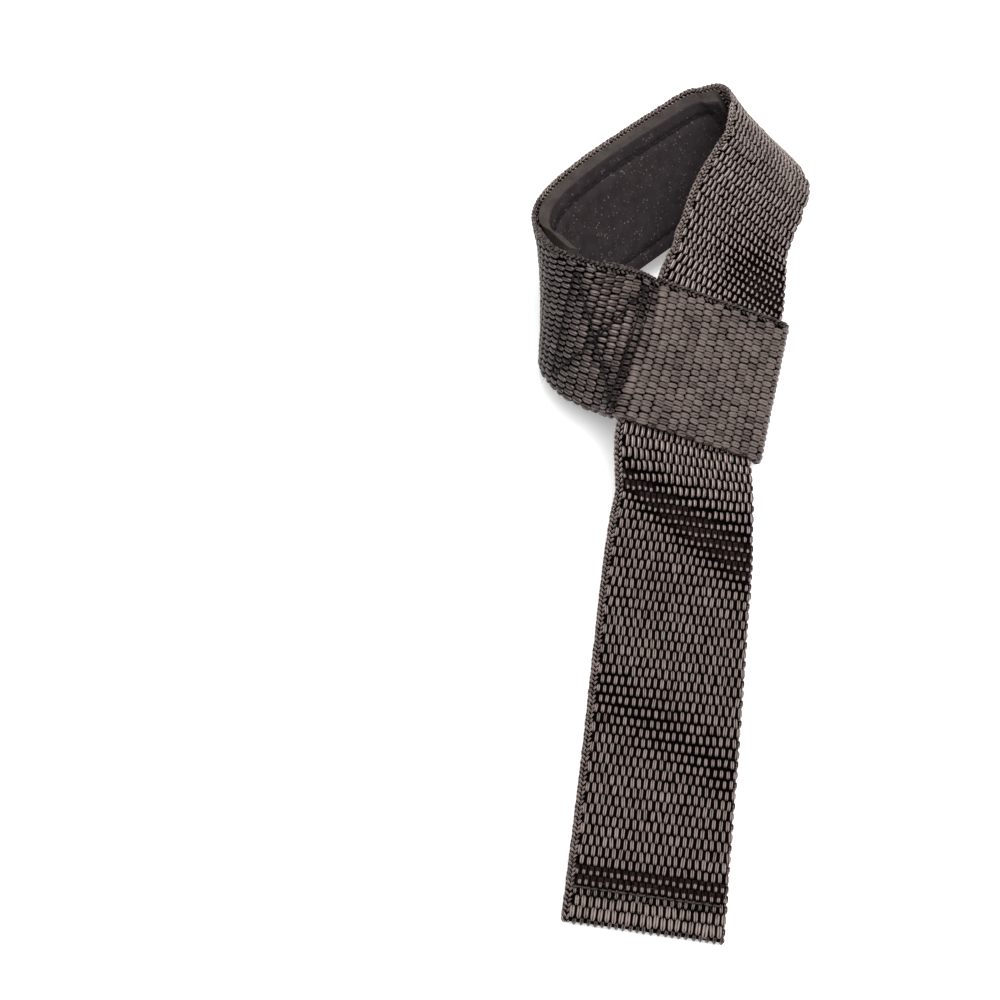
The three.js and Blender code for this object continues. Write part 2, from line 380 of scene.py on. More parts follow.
    def foam(self, finish: FoamFinish) -> bpy.types.Material:
        """Cut neoprene: mottled tone and fine pores.

        Args:
            finish: the finish's values.

        Returns:
            The material.
        """
        material, tree, shader = new_material(finish.name, finish.roughness, 0.2)
        place, cells = tree.nodes.new("ShaderNodeTexCoord"), tree.nodes.new("ShaderNodeTexVoronoi")
        mottle = group_node(tree, self.mottle, Scale=260.0)
        cells.inputs["Scale"].default_value = finish.pores / MM
        ramp = ramp_node(tree, finish.dark, finish.light, 0.38, 0.62)
        wire(tree,
             (place.outputs["Object"], mottle.inputs["Vector"]),
             (place.outputs["Object"], cells.inputs["Vector"]),
             (mottle.outputs["Mask"], ramp.inputs[0]),
             (ramp.outputs["Color"], shader.inputs["Base Color"]))
        add_relief(tree, shader, cells.outputs["Distance"], finish.relief, 0.2)
        return material

    def knit(self, finish: KnitFinish) -> bpy.types.Material:
        """Fine knit: rib lines along the pad, light speckles and a soft mottle.

        Args:
            finish: the finish's values.

        Returns:
            The material.
        """
        material, tree, shader = new_material(finish.name, finish.roughness, 0.2)
        place, rib, speck, patch, sparkle, where = (tree.nodes.new(kind) for kind in (
            "ShaderNodeUVMap", "ShaderNodeTexWave", "ShaderNodeTexVoronoi", "ShaderNodeTexNoise",
            "ShaderNodeMapRange", "ShaderNodeMapRange"))
        place.uv_map = WEAVE_MAP
        rib.bands_direction = "X"
        set_inputs(rib, {"Scale": finish.ribs, "Distortion": 0.8, "Detail": 2.0})
        speck.inputs["Scale"].default_value = 1.05
        patch.inputs["Scale"].default_value = 0.35
        set_inputs(sparkle, {"From Min": 0.26, "From Max": 0.12})
        set_inputs(where, {"From Min": 0.42, "From Max": 0.60})
        mottle = group_node(tree, self.mottle, Scale=0.30)
        lit, even = math_node(tree, "MULTIPLY"), math_node(tree, "MULTIPLY", 0.34)
        ribbed, total = math_node(tree, "MULTIPLY_ADD", 0.22), math_node(tree, "MULTIPLY_ADD", 0.75)
        ramp = ramp_node(tree, finish.dark, finish.light, 0.22, 1.0)
        for node in (rib, speck, patch, mottle):
            wire(tree, (place.outputs["UV"], node.inputs["Vector"]))
        wire(tree,
             (speck.outputs["Distance"], sparkle.inputs["Value"]),
             (patch.outputs[0], where.inputs["Value"]),
             (sparkle.outputs[0], lit.inputs[0]),
             (where.outputs[0], lit.inputs[1]),
             (mottle.outputs["Mask"], even.inputs[0]),
             (rib.outputs["Fac"], ribbed.inputs[0]),
             (even.outputs[0], ribbed.inputs[2]),
             (lit.outputs[0], total.inputs[0]),
             (ribbed.outputs[0], total.inputs[2]),
             (total.outputs[0], ramp.inputs[0]),
             (ramp.outputs["Color"], shader.inputs["Base Color"]))
        add_relief(tree, shader, ribbed.outputs[0], finish.relief, 0.1)
        return material


# Shared arithmetic


def run_along(points: np.ndarray) -> np.ndarray:
    """Length of a polyline up to each of its points."""
    return np.concatenate([[0], np.cumsum(np.linalg.norm(np.diff(points, axis=0), axis=1))])


def rising(x: np.ndarray, start: float, length: float) -> np.ndarray:
    """A ramp from 0 at the start to 1 a length further on."""
    return np.clip((x - start) / length, 0, 1)


def falling(x: np.ndarray, end: float, length: float) -> np.ndarray:
    """A ramp from 1, a length before the end, to 0 at the end."""
    return np.clip((end - x) / length, 0, 1)


def hill(x: np.ndarray, middle: float, width: float, power: int = 2) -> np.ndarray:
    """A bell of height 1 round its middle, flatter on top with a higher power."""
    return np.exp(-(((x - middle) / width) ** power))


# The route of the webbing


@dataclass(frozen=True)
class Row:
    """A station of the webbing, in strap widths: place, height of the underside, direction across."""

    at: str
    x: float
    y: float
    lift: float
    ax: float
    ay: float
    az: float


TAIL_ROWS = (
    Row("tail end", 0.858, -2.948, 0.000, 0.990, -0.140, 0.000),
    Row("tail middle", 1.000, -1.930, 0.000, 0.990, -0.140, 0.000),
    Row("tail top", 1.135, -0.860, 0.000, 0.990, -0.140, 0.000),
    Row("tail lifts", 1.203, -0.330, 0.080, 0.975, -0.140, -0.150),
    Row("tail turns", 1.236, -0.040, 0.175, 0.935, -0.110, -0.335),
)
LOOP_ROWS = (
    Row("leaves the eye", 1.557, 1.374, 0.555, 0.830, -0.050, -0.555),
    Row("rises", 1.602, 1.574, 0.534, 0.820, -0.030, -0.570),
    Row("rises more", 1.660, 1.822, 0.573, 0.770, 0.020, -0.632),
    Row("near the top", 1.730, 1.985, 0.603, 0.770, 0.060, -0.632),
    Row("top", 1.816, 2.144, 0.649, 0.765, 0.110, -0.630),
    Row("bend starts", 1.880, 2.294, 0.688, 0.690, 0.170, -0.700),
    Row("bend middle", 1.852, 2.540, 0.675, 0.500, 0.250, -0.830),
    Row("bend ends", 1.722, 2.645, 0.624, 0.380, 0.020, -0.925),
    Row("back right", 1.568, 2.600, 0.543, 0.380, -0.310, -0.870),
    Row("back middle", 1.295, 2.420, 0.469, 0.400, -0.360, -0.840),
    Row("back", 1.008, 2.201, 0.441, 0.430, -0.385, -0.820),
    Row("back left", 0.717, 1.957, 0.443, 0.420, -0.385, -0.820),
    Row("left starts", 0.460, 1.690, 0.450, 0.360, -0.370, -0.855),
    Row("left bend", 0.315, 1.445, 0.470, 0.160, -0.230, -0.960),
    Row("left middle", 0.320, 1.155, 0.580, -0.100, -0.320, -0.940),
    Row("left ends", 0.515, 0.935, 0.665, -0.290, -0.500, -0.810),
    Row("front", 0.760, 0.840, 0.665, -0.330, -0.750, -0.570),
)


@dataclass
class Route:
    """The way of the webbing from the hem's cut end to the end that is sewn back."""

    width: float = 38.0
    thick: float = 2.0
    layer_gap: float = 0.35
    hem_length: float = 9.5
    round_from: float = 0.487
    eye_place: tuple[float, float, float] = (1.370, 0.750, 0.425)
    eye_along: tuple[float, float, float] = (0.28, 0.93, 0.25)
    eye_across: tuple[float, float, float] = (0.90, -0.12, -0.41)
    eye_turn: float = 3.5
    eye_half: float = 0.51
    eye_fold: float = 0.475
    eye_seam: float = 0.53
    eye_sewn: float = 0.40
    sample_step: float = 0.35
    calm_past: float = 3.0
    calm_reach: float = 20.0
    calm_spread: float = 6.5
    grid_step: float = 0.5
    lane_count: int = 9
    even_reach: int = 60
    even_spread: float = 11.0
    spots: dict[str, float] = field(default_factory=dict)

    def __post_init__(self) -> None:
        """Work out the frames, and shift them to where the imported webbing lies."""
        self.rest = self.thick / 2
        self.layer = self.thick + self.layer_gap
        self._walk()
        self._settle()
        self._even_out()

    @staticmethod
    def _unit(v: np.ndarray) -> np.ndarray:
        """Vectors of length one."""
        return v / np.linalg.norm(v, axis=-1, keepdims=True)

    def _station(self, row: Row) -> tuple[str, np.ndarray, np.ndarray]:
        """Place and across direction of a row, in millimetres."""
        place = np.array([row.x * self.width, row.y * self.width, row.lift * self.width + self.rest])
        return row.at, place, self._unit(np.array([row.ax, row.ay, row.az]))

    def _hem(self, end: tuple, following: tuple) -> list[tuple]:
        """Stations of the folded tail end: cut end underneath, turn, and upper layer.

        Args:
            end: the station of the tail's end.
            following: the next station up the tail.

        Returns:
            The hem's stations.
        """
        way = following[1] - end[1]
        way[2] = 0.0
        way = self._unit(way)
        r = self.layer / 2

        def spot(along: float, z: float) -> tuple:
            """A station this far up the tail at this height."""
            place = end[1] + way * along
            place[2] = z
            return "", place, end[2]

        turn = []
        for degrees in (-75, -45, -15, 15, 45, 75):
            q = math.radians(degrees)
            turn.append(spot(r + self.rest - r * math.cos(q), self.rest + r + r * math.sin(q)))
        h, z, up = self.hem_length, self.rest, self.layer
        return [
            spot(h, z), spot(h * 0.5, z), spot(r + self.rest, z),
            *turn,
            spot(r + self.rest, z + up), spot(h * 0.5, z + up), spot(h * 0.95, z + up * 0.98),
            spot(h * 1.35, z + up * 0.62), spot(h * 1.75, z + up * 0.12), spot(h * 2.15, z),
        ]

    def _stations(self) -> list[tuple]:
        """Every station in order, the sewn-back end left out."""
        middle = np.array(self.eye_place) * self.width + np.array([0, 0, self.rest])
        along = self._unit(np.array(self.eye_along))
        across = np.array(self.eye_across)
        across = self._unit(across - along * across.dot(along))
        normal = self._unit(np.cross(across, along))
        q = math.radians(self.eye_turn)
        eye_dir = self._unit(across * math.cos(q) + np.cross(normal, across) * math.sin(q))
        eye_across = self._unit(np.cross(eye_dir, normal))

        def flat(at: str, way: np.ndarray, share: float, height: float, side: np.ndarray) -> tuple:
            """A station in the plane of the crossing."""
            return at, middle + way * share * self.width + normal * height, side

        tail = [self._station(row) for row in TAIL_ROWS]
        under = [flat("", along, u, 0, across) for u in
                 (-self.eye_half, -self.eye_half * 0.3, self.eye_half * 0.3, self.eye_half)]
        loop = [self._station(row) for row in LOOP_ROWS]
        up = self.layer
        over = [
            flat("seam", eye_dir, -self.eye_seam, up * 0.62, eye_across),
            flat("", eye_dir, -self.eye_seam * 0.72, up, eye_across),
            flat("eye", eye_dir, 0, up, eye_across),
            flat("fold starts", eye_dir, self.eye_fold * 0.8, up, eye_across),
        ]
        fold = []
        for degrees in (90, 60, 30, 0, -30, -60, -90):
            q = math.radians(degrees)
            fold.append(flat("fold" if degrees == 0 else "", eye_dir,
                             self.eye_fold + up * math.cos(q) / self.width, up * math.sin(q), eye_across))
        back = [
            flat("fold ends", eye_dir, self.eye_fold * 0.8, -up, eye_across),
            flat("", eye_dir, 0, -up, eye_across),
            flat("back ends", eye_dir, -self.eye_seam * 0.72, -up * 0.98, eye_across),
        ]
        return [*self._hem(tail[0], tail[1]), *tail[1:], *under, *loop, *over, *fold, *back]

    @staticmethod
    def _curve(points: np.ndarray, span: int, t: np.ndarray, even: bool) -> np.ndarray:
        """Points of a Catmull-Rom curve in one span.

        Args:
            points: the curve's stations.
            span: the number of the span.
            t: shares of the span.
            even: a uniform curve instead of a centripetal one.

        Returns:
            One point for each share.
        """
        last = len(points) - 1
        p1, p2 = points[span], points[span + 1]
        p0 = points[span - 1] if span > 0 else 2 * p1 - p2
        p3 = points[span + 2] if span + 2 <= last else 2 * p2 - p1
        if even:
            t1, t2 = (p2 - p0) / 2, (p3 - p1) / 2
        else:
            d0, d1, d2 = (math.sqrt(np.linalg.norm(b - a)) for a, b in ((p0, p1), (p1, p2), (p2, p3)))
            t1 = ((p1 - p0) / d0 - (p2 - p0) / (d0 + d1) + (p2 - p1) / d1) * d1
            t2 = ((p2 - p1) / d1 - (p3 - p1) / (d1 + d2) + (p3 - p2) / d2) * d1
        t = t[:, None]
        return p1 + t1 * t + (-3 * p1 + 3 * p2 - 2 * t1 - t2) * t ** 2 + (2 * p1 - 2 * p2 + t1 + t2) * t ** 3

    def _walk(self) -> None:
        """Sample the route finely: places, across, along and normal directions, and path length."""
        stations = self._stations()
        points = np.array([s[1] for s in stations])
        sides = np.array([s[2] for s in stations])
        place, side, marks = [], [], {}
        count = 0
        for span in range(len(stations) - 1):
            n = max(6, int(np.linalg.norm(points[span + 1] - points[span]) / self.sample_step))
            t = np.arange(n) / n
            if stations[span][0]:
                marks[stations[span][0]] = count
            place.append(self._curve(points, span, t, False))
            side.append(self._curve(sides, span, t, True))
            count += n
        marks[stations[-1][0]] = count
        place.append(points[-1:])
        side.append(sides[-1:])
        p, a = np.concatenate(place), self._unit(np.concatenate(side))
        run = run_along(p)
        a = self._calm(run, a, run[marks["bend ends"]] + self.calm_past)
        # the table holds up its lower edge
        held = self.rest * np.hypot(a[:, 0], a[:, 1]) + self.round_from * self.width * np.abs(a[:, 2])
        p[:, 2] = np.maximum(p[:, 2], held)
        d = self._unit(np.gradient(p, axis=0))
        a = self._unit(a - d * np.sum(a * d, axis=1, keepdims=True))
        n = self._unit(np.cross(a, d))
        # the sewn-back end keeps one layer under the front section
        run = run_along(p)
        seam = marks["seam"]
        tuck = [i for i in range(seam, 0, -1) if run[seam] - run[i] < self.eye_sewn * self.width]
        p = np.concatenate([p, p[tuck] - n[tuck] * self.layer])
        a, d, n = np.concatenate([a, a[tuck]]), np.concatenate([d, -d[tuck]]), np.concatenate([n, -n[tuck]])
        self.p, self.a, self.d, self.n = p, a, d, n
        self.s = run_along(p)
        self.spots = {name: float(self.s[i]) for name, i in marks.items()}
        self.length = float(self.s[-1])

    def _calm(self, run: np.ndarray, a: np.ndarray, middle: float) -> np.ndarray:
        """Even out the across directions round one place, so that the edge turns without a corner.

        Args:
            run: path length of each sample.
            a: across directions.
            middle: path length of the place.

        Returns:
            The across directions.
        """
        calm, reach = a.copy(), self.calm_reach
        for i in np.flatnonzero(np.abs(run - middle) < reach):
            local = max(self.calm_spread * math.cos((run[i] - middle) / reach * math.pi / 2), 0.05)
            share = np.exp(-(((run - run[i]) / local) ** 2) / 2) * np.gradient(run)
            calm[i] = share @ a / share.sum()
        return self._unit(calm)

    def _settle(self) -> None:
        """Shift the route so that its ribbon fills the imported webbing's box."""
        w, t = self.width / 2, self.thick / 2
        rounded = ((0.91, 1.0), (0.974, 0.84), (1.0, 0.4))
        corners = np.concatenate([self.p + self.a * sw * w * k + self.n * st * t * j
                                  for sw in (-1, 1) for st in (-1, 1) for k, j in rounded])
        low, high = (np.array(v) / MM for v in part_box("webbing_strap"))
        shift = (low + high - corners.min(0) - corners.max(0)) / 2
        shift[2] = low[2] - corners[:, 2].min()
        self.p += shift
        self.shift = shift
        log.info("route length %.1f mm, shift %s", self.length, np.round(shift, 2))

    def _even_out(self) -> None:
        """Tables that keep the rows of the weave evenly spaced along every warp line."""
        self.grid = np.arange(0, self.length, self.grid_step)
        self.lanes = np.linspace(-self.width / 2, self.width / 2, self.lane_count)
        reach = np.arange(-self.even_reach, self.even_reach + 1) * self.grid_step
        kernel = np.exp(-((reach / self.even_spread) ** 2) / 2)
        kernel /= kernel.sum()
        table = []
        for w in self.lanes:
            line = self.place(self.grid, np.full(len(self.grid), w), np.zeros(len(self.grid)))
            run = run_along(line)
            extra = np.pad(run - self.grid, self.even_reach, mode="edge")
            wanted = self.grid + np.convolve(extra, kernel, mode="valid")
            table.append(np.interp(wanted, run, self.grid) - self.grid)
        self.slips = np.array(table)

    def slide(self, s: np.ndarray, w: np.ndarray) -> np.ndarray:
        """Path lengths at which evenly spaced rows lie.

        Args:
            s: path lengths of the rows in the middle of the webbing.
            w: distances across.

        Returns:
            The path lengths at those distances across.
        """
        lane = np.clip((w - self.lanes[0]) / (self.lanes[1] - self.lanes[0]), 0, len(self.lanes) - 1.001)
        low = lane.astype(int)
        step = np.clip(s / self.grid_step, 0, len(self.grid) - 1.001)
        back = step.astype(int)
        u, v = lane - low, step - back
        t = self.slips
        return s + ((t[low, back] * (1 - v) + t[low, back + 1] * v) * (1 - u)
                    + (t[low + 1, back] * (1 - v) + t[low + 1, back + 1] * v) * u)

    def _read(self, table: np.ndarray, s: np.ndarray) -> np.ndarray:
        """Values of a table of vectors at path lengths."""
        return np.stack([np.interp(s, self.s, table[:, k]) for k in range(3)], axis=-1)

    def place(self, s: np.ndarray, w: np.ndarray, h: np.ndarray) -> np.ndarray:
        """Points on or near the webbing.

        Args:
            s: path lengths.
            w: distances across from the middle.
            h: heights off the middle layer, toward the outer face.

        Returns:
            The points, in millimetres.
        """
        h = np.asarray(h) + self.ripple(np.asarray(s), np.asarray(w))
        return (self._read(self.p, s) + self._read(self.a, s) * np.asarray(w)[..., None]
                + self._read(self.n, s) * h[..., None])

    def ripple(self, s: np.ndarray, w: np.ndarray) -> np.ndarray:
        """Height of the slanting ridge that the tail has where it starts to rise to the eye.

        Args:
            s: path lengths.
            w: distances across.

        Returns:
            Heights off the smooth route.
        """
        crest = self.spots["tail turns"] - 14.5 - 0.42 * w
        away = (s - crest) / 8.5
        return 1.05 * np.exp(-away ** 2) - 0.55 * np.exp(-((away - 1.55) ** 2))

    def bend(self, s: np.ndarray) -> np.ndarray:
        """Curvature at path lengths, positive where the outer face is the inside of the bend."""
        step = 0.6
        d0, d1 = self._read(self.d, s - step), self._read(self.d, s + step)
        return np.sum((d1 - d0) * self._read(self.n, s), axis=-1) / (2 * step)


# Mesh helpers


def make_object(name: str, points: np.ndarray, faces: list | np.ndarray, material: bpy.types.Material,
                weave: np.ndarray, tone: np.ndarray, across: np.ndarray | None = None) -> bpy.types.Object:
    """Write a mesh at its place, with the weave's own map and tone.

    Args:
        name: the piece's name.
        points: vertices, in millimetres.
        faces: vertex numbers of each face.
        material: the piece's material.
        weave: across and along position of each vertex, in millimetres.
        tone: tone of each vertex, 0 to 1.
        across: place of each vertex across its own yarn, -1 to 1.

    Returns:
        The object.
    """
    mesh = bpy.data.meshes.new(name)
    mesh.from_pydata((points * MM).tolist(), [], [list(map(int, f)) for f in faces])
    layer = mesh.uv_layers.new(name=WEAVE_MAP)
    corners = np.empty(len(mesh.loops), np.int32)
    mesh.loops.foreach_get("vertex_index", corners)
    layer.data.foreach_set("uv", weave[corners].astype(np.float32).ravel())
    for title, values in ((TONE, tone), (ACROSS, across)):
        if values is not None:
            attribute = mesh.attributes.new(title, "FLOAT", "POINT")
            attribute.data.foreach_set("value", values.astype(np.float32))
    mesh.polygons.foreach_set("use_smooth", [True] * len(mesh.polygons))
    mesh.materials.append(material)
    mesh.update()
    piece = bpy.data.objects.new(name, mesh)
    bpy.context.scene.collection.objects.link(piece)
    return piece


def tube_faces(count: int, each: int, base: int = 0) -> list[tuple[int, ...]]:
    """Quads round a tube of rings.

    Args:
        count: the number of rings.
        each: vertices in one ring.
        base: number of the first vertex.

    Returns:
        Four vertex numbers for each face.
    """
    faces = []
    for first in range(base, base + (count - 1) * each, each):
        for j in range(each):
            a, b = first + j, first + (j + 1) % each
            faces.append((a, b, b + each, a + each))
    return faces


def ball_shape(segments: int, rings: int, turn: tuple[float, float, float],
               cut: float | None = None) -> Shape:
    """Model a sphere, turned and perhaps cut flat.

    Args:
        segments: faces round it.
        rings: rings of the whole sphere.
        turn: degrees it is turned about each axis.
        cut: height below which it is cut away.

    Returns:
        Vertices and faces; the object itself is removed.
    """
    bpy.ops.object.select_all(action="DESELECT")
    bpy.ops.mesh.primitive_uv_sphere_add(segments=segments, ring_count=rings, radius=1.0,
                                         rotation=[math.radians(v) for v in turn])
    bpy.ops.object.transform_apply(location=False, rotation=True, scale=True)
    if cut is not None:
        bpy.ops.object.mode_set(mode="EDIT")
        bpy.ops.mesh.select_all(action="SELECT")
        bpy.ops.mesh.bisect(plane_co=(0, 0, cut), plane_no=(0, 0, 1), clear_inner=True)
        bpy.ops.object.mode_set(mode="OBJECT")
    piece = bpy.context.active_object
    mesh = piece.data
    points = np.array([v.co for v in mesh.vertices])
    faces = [list(f.vertices) for f in mesh.polygons]
    bpy.data.objects.remove(piece)
    bpy.data.meshes.remove(mesh)
    return points, faces


def dome_shape(squareness: float, crown: float, flat: float) -> Shape:
    """Model one raised grain: a sphere cut a little under its middle, its sides flat-footed.

    Args:
        squareness: 2 gives an ellipse, more a fuller footprint.
        crown: under 1 gives a flatter top.
        flat: under 1 keeps the top level along more of the yarn.

    Returns:
        Vertices and faces, with half sizes of one and the top at height one.
    """
    # turned by half a face, so that a side lies along the yarn
    points, faces = ball_shape(8, 6, (0, 0, 22.5), -0.05)
    reach = np.hypot(points[:, 0], points[:, 1])
    way = points[:, :2] / np.maximum(reach, 1e-6)[:, None]
    square = np.sum(np.abs(way) ** squareness, axis=1) ** (-1 / squareness)
    points[:, :2] *= np.minimum(square, 1.3)[:, None]
    points[:, :2] /= np.abs(points[:, :2]).max(axis=0)
    for axis, power in ((2, crown), (0, flat)):
        points[:, axis] = np.sign(points[:, axis]) * np.abs(points[:, axis]) ** power
    return points, faces


@dataclass
class Laid:
    """Many copies of one small shape on the webbing, as arrays with one value per copy."""

    s: np.ndarray
    w: np.ndarray
    h: np.ndarray
    swing: np.ndarray
    roll: np.ndarray
    size: np.ndarray
    tone: np.ndarray

    def keep(self, mask: np.ndarray) -> "Laid":
        """The copies that a mask keeps."""
        return Laid(*(getattr(self, each.name)[mask] for each in fields(self)))

    @staticmethod
    def join(parts: list["Laid"]) -> "Laid":
        """One set from several."""
        return Laid(*(np.concatenate([getattr(part, each.name) for part in parts]) for each in fields(Laid)))

    def build(self, name: str, route: Route, shape: Shape, material: bpy.types.Material) -> bpy.types.Object:
        """Lay the copies into one mesh.

        Args:
            name: the piece's name.
            route: the webbing's route.
            shape: vertices and faces of one copy.
            material: the piece's material.

        Returns:
            The object.
        """
        local, faces = shape
        count, each = len(self.s), len(local)
        x, y, z = (local[None, :, k] * self.size[:, k:k + 1] for k in range(3))
        weave = np.stack([self.w[:, None] + y, self.s[:, None] + x], axis=-1).reshape(-1, 2)
        c, q = np.cos(self.swing)[:, None], np.sin(self.swing)[:, None]
        x, y = x * c - y * q, x * q + y * c
        c, q = np.cos(self.roll)[:, None], np.sin(self.roll)[:, None]
        s = self.s[:, None] + x
        w = self.w[:, None] + y * c - z * q
        h = self.h[:, None] + y * q + z * c
        points = route.place(route.slide(s, w), w, h).reshape(-1, 3)
        base = np.arange(count) * each
        every = [row for face in faces for row in base[:, None] + np.array(face)[None, :]]
        across = np.tile(local[:, 1], count)
        return make_object(name, points, every, material, weave, np.repeat(self.tone, each), across)


# The webbing


class Face(Enum):
    """The two faces of the webbing."""

    OUTER = 1
    INNER = -1


@dataclass
class Webbing:
    """The woven strap: a dark ground ribbon, raised grains on both faces and slanted selvages."""

    route: Route
    row_pitch: float = 2.56
    grains_across: int = 22
    first_grain: float = -16.55
    last_grain: float = 18.25
    grain_width: float = 1.00
    grain_length: float = 2.66
    grain_height: float = 0.60
    plump: float = 1.50
    ground_half: float = 0.42
    ground_edge: float = 18.2
    selvage_step: float = 1.22
    swallowing_bend: float = 0.42
    tucked_past: float = 1.5
    glued_past: float = 3.0
    glued_short: float = 22.0
    glued_half: float = 16.4
    tail_short: float = 30.0
    seed: int = 4

    def ground(self, material: bpy.types.Material, hem: float) -> bpy.types.Object:
        """The ribbon under the grains.

        Args:
            material: its material.
            hem: path length of the hem's seam.

        Returns:
            The object.
        """
        route = self.route
        s = np.concatenate([np.arange(0, route.length, 0.7), [route.length]])
        edge, t = self.ground_edge, self.ground_half
        ring = [(-edge, -t * 0.5), (-edge, t * 0.5), (-edge * 0.98, t)]
        ring += [(edge * k / 6, t) for k in range(-5, 6)]
        ring += [(edge * 0.98, t), (edge, t * 0.5), (edge, -t * 0.5), (edge * 0.98, -t)]
        ring += [(-edge * k / 6, -t) for k in range(-5, 6)]
        ring += [(-edge * 0.98, -t)]
        w, h = np.array(ring).T
        count, each = len(s), len(ring)
        s, w, h = np.repeat(s, each), np.tile(w, count), np.tile(h, count)
        points = route.place(route.slide(s, w), w, h)
        faces = tube_faces(count, each)
        faces.append(tuple(range(each - 1, -1, -1)))
        faces.append(tuple((count - 1) * each + j for j in range(each)))
        # painted light and shade: the ground's outer face lighter in the painted shade bands, where the
        # drawn-in grains leave it bare
        tone = 0.05 + 1.15 * self._painted_shade_bands(s, w, hem) * (h > 0)
        return make_object("webbing_ground", points, faces, material, np.stack([w, s], axis=-1), tone)

    @property
    def step(self) -> float:
        """Distance from grain to grain across."""
        return (self.last_grain - self.first_grain) / (self.grains_across - 0.5)

    @property
    def pitch(self) -> float:
        """Distance from row to row, so that whole rows fill the route."""
        return self.route.length / int(self.route.length / self.row_pitch)

    def _rows(self) -> np.ndarray:
        """Path lengths of the rows of grains."""
        return (np.arange(int(self.route.length / self.row_pitch)) + 0.5) * self.pitch

    def grains(self) -> Laid:
        """The raised grains of both faces, in brick bond.

        Returns:
            Their places.
        """
        chance = np.random.default_rng(self.seed)
        parts = []
        for face in Face:
            for i, s in enumerate(self._rows()):
                count = self.grains_across
                offset = 0.5 if (i + (face is Face.INNER)) % 2 else 0.0
                w = self.first_grain + (np.arange(count) + offset) * self.step
                n = len(w)
                size = np.stack([
                    self.grain_length / 2 * (1 + 0.05 * chance.standard_normal(n)),
                    self.grain_width / 2 * (1 + 0.05 * chance.standard_normal(n)),
                    self.grain_height * (1 + 0.07 * chance.standard_normal(n)),
                ], axis=-1)
                parts.append(Laid(
                    s + 0.08 * chance.standard_normal(n), w + 0.05 * chance.standard_normal(n),
                    np.full(n, self.ground_half * face.value), 0.05 * chance.standard_normal(n),
                    np.full(n, 0.0 if face is Face.OUTER else math.pi), size,
                    np.clip(0.55 + 0.13 * chance.standard_normal(n), 0, 1),
                ))
        return Laid.join(parts)

    def _edge_line(self, s: np.ndarray, w: float, h: float, roll: float, lean: float,
                   size: tuple[float, float, float], chance: np.random.Generator) -> Laid:
        """One line of edge grains.

        Args:
            s: path lengths.
            w: distance across.
            h: height off the middle layer.
            roll: turn about the way of the webbing.
            lean: slant in the face.
            size: half length, half width and height of each grain.
            chance: source of small differences.

        Returns:
            Their places.
        """
        n = len(s)
        return Laid(
            s + 0.05 * chance.standard_normal(n), np.full(n, w) + 0.03 * chance.standard_normal(n),
            np.full(n, h),
            np.full(n, lean) + 0.08 * chance.standard_normal(n), np.full(n, roll),
            np.tile(size, (n, 1)) * (1 + 0.07 * chance.standard_normal((n, 1))),
            np.clip(0.38 + 0.22 * chance.standard_normal(n), 0, 1),
        )

    def selvages(self) -> Laid:
        """The knitted selvage along the left edge and the turned rows along the right edge.

        Returns:
            Their places.
        """
        chance = np.random.default_rng(self.seed + 1)
        route, t, half = self.route, self.ground_half, self.route.width / 2
        s = np.arange(self.selvage_step / 2, route.length, self.selvage_step)
        rows = self._rows()
        flat, over = math.pi, math.pi / 2
        loop = (0.66, 0.29, 0.50)
        return Laid.join([
            # a V of slanted loops on each face of the left edge, and one line on the edge itself
            self._edge_line(s, -half + 1.62, t * 0.8, 0.0, 0.62, loop, chance),
            self._edge_line(s + 0.45, -half + 0.78, t * 0.6, 0.42, -0.58, loop, chance),
            self._edge_line(s, -half + 1.62, -t * 0.8, flat, 0.62, loop, chance),
            self._edge_line(s + 0.45, -half + 0.78, -t * 0.6, flat - 0.42, -0.58, loop, chance),
            self._edge_line(s + 0.2, -half + 0.55, 0.0, over, 0.5, (0.72, 0.34, 0.46), chance),
            # the weft turns round the right edge once in each row
            self._edge_line(rows, half - 0.62, 0.0, -over, 0.0, (0.95, 0.66, 0.58), chance),
            self._edge_line(rows + self.row_pitch / 2, half - 0.85, 0.0, -over, 0.0, (0.50, 0.60, 0.45),
                            chance),
        ])

    def _plump(self, grains: Laid) -> None:
        """Fill out the grains of the front and the eye, and those stretched round a fold, and paint light and
        shade on them by zone.

        Args:
            grains: the grains of both faces.
        """
        spots = self.route.spots
        front = rising(grains.s, spots["left middle"], spots["front"] - spots["left middle"])
        side = np.where(np.abs(grains.roll) < 1, 1.0, -1.0)
        round_fold = np.clip(-self.route.bend(grains.s) * side / 0.5, 0, 1)
        grains.size[:, 1] *= 1 + (self.plump - 1) * np.maximum(front, round_fold)
        grains.size[:, 0] *= 1 + 0.04 * front + 0.04 * round_fold
        # painted light: grains lighter from the upper right bend round the back and the left, lightest on the
        # front and the eye
        bend = rising(grains.s, spots["bend middle"], 12) * falling(grains.s, spots["seam"] + 2, 6)
        grains.tone[:] += 0.55 * np.maximum(front, bend * 0.8) - 0.22 * bend
        grains.size[:, 2] *= 1 - 0.15 * bend
        # painted shade: the rise from the eye to the upper right bend a little darker
        up = rising(grains.s, spots["leaves the eye"], 8) * falling(grains.s, spots["bend middle"], 8)
        grains.tone[:] -= 0.16 * up

    def _painted_shade_bands(self, s: np.ndarray, w: np.ndarray, hem: float) -> np.ndarray:
        """How far the weave is drawn in, in painted shade bands on the tail, past the eye and behind the hem.

        Args:
            s: path lengths.
            w: distances across.
            hem: path length of the hem's seam.

        Returns:
            Shares between 0 and 0.9.
        """
        spots = self.route.spots
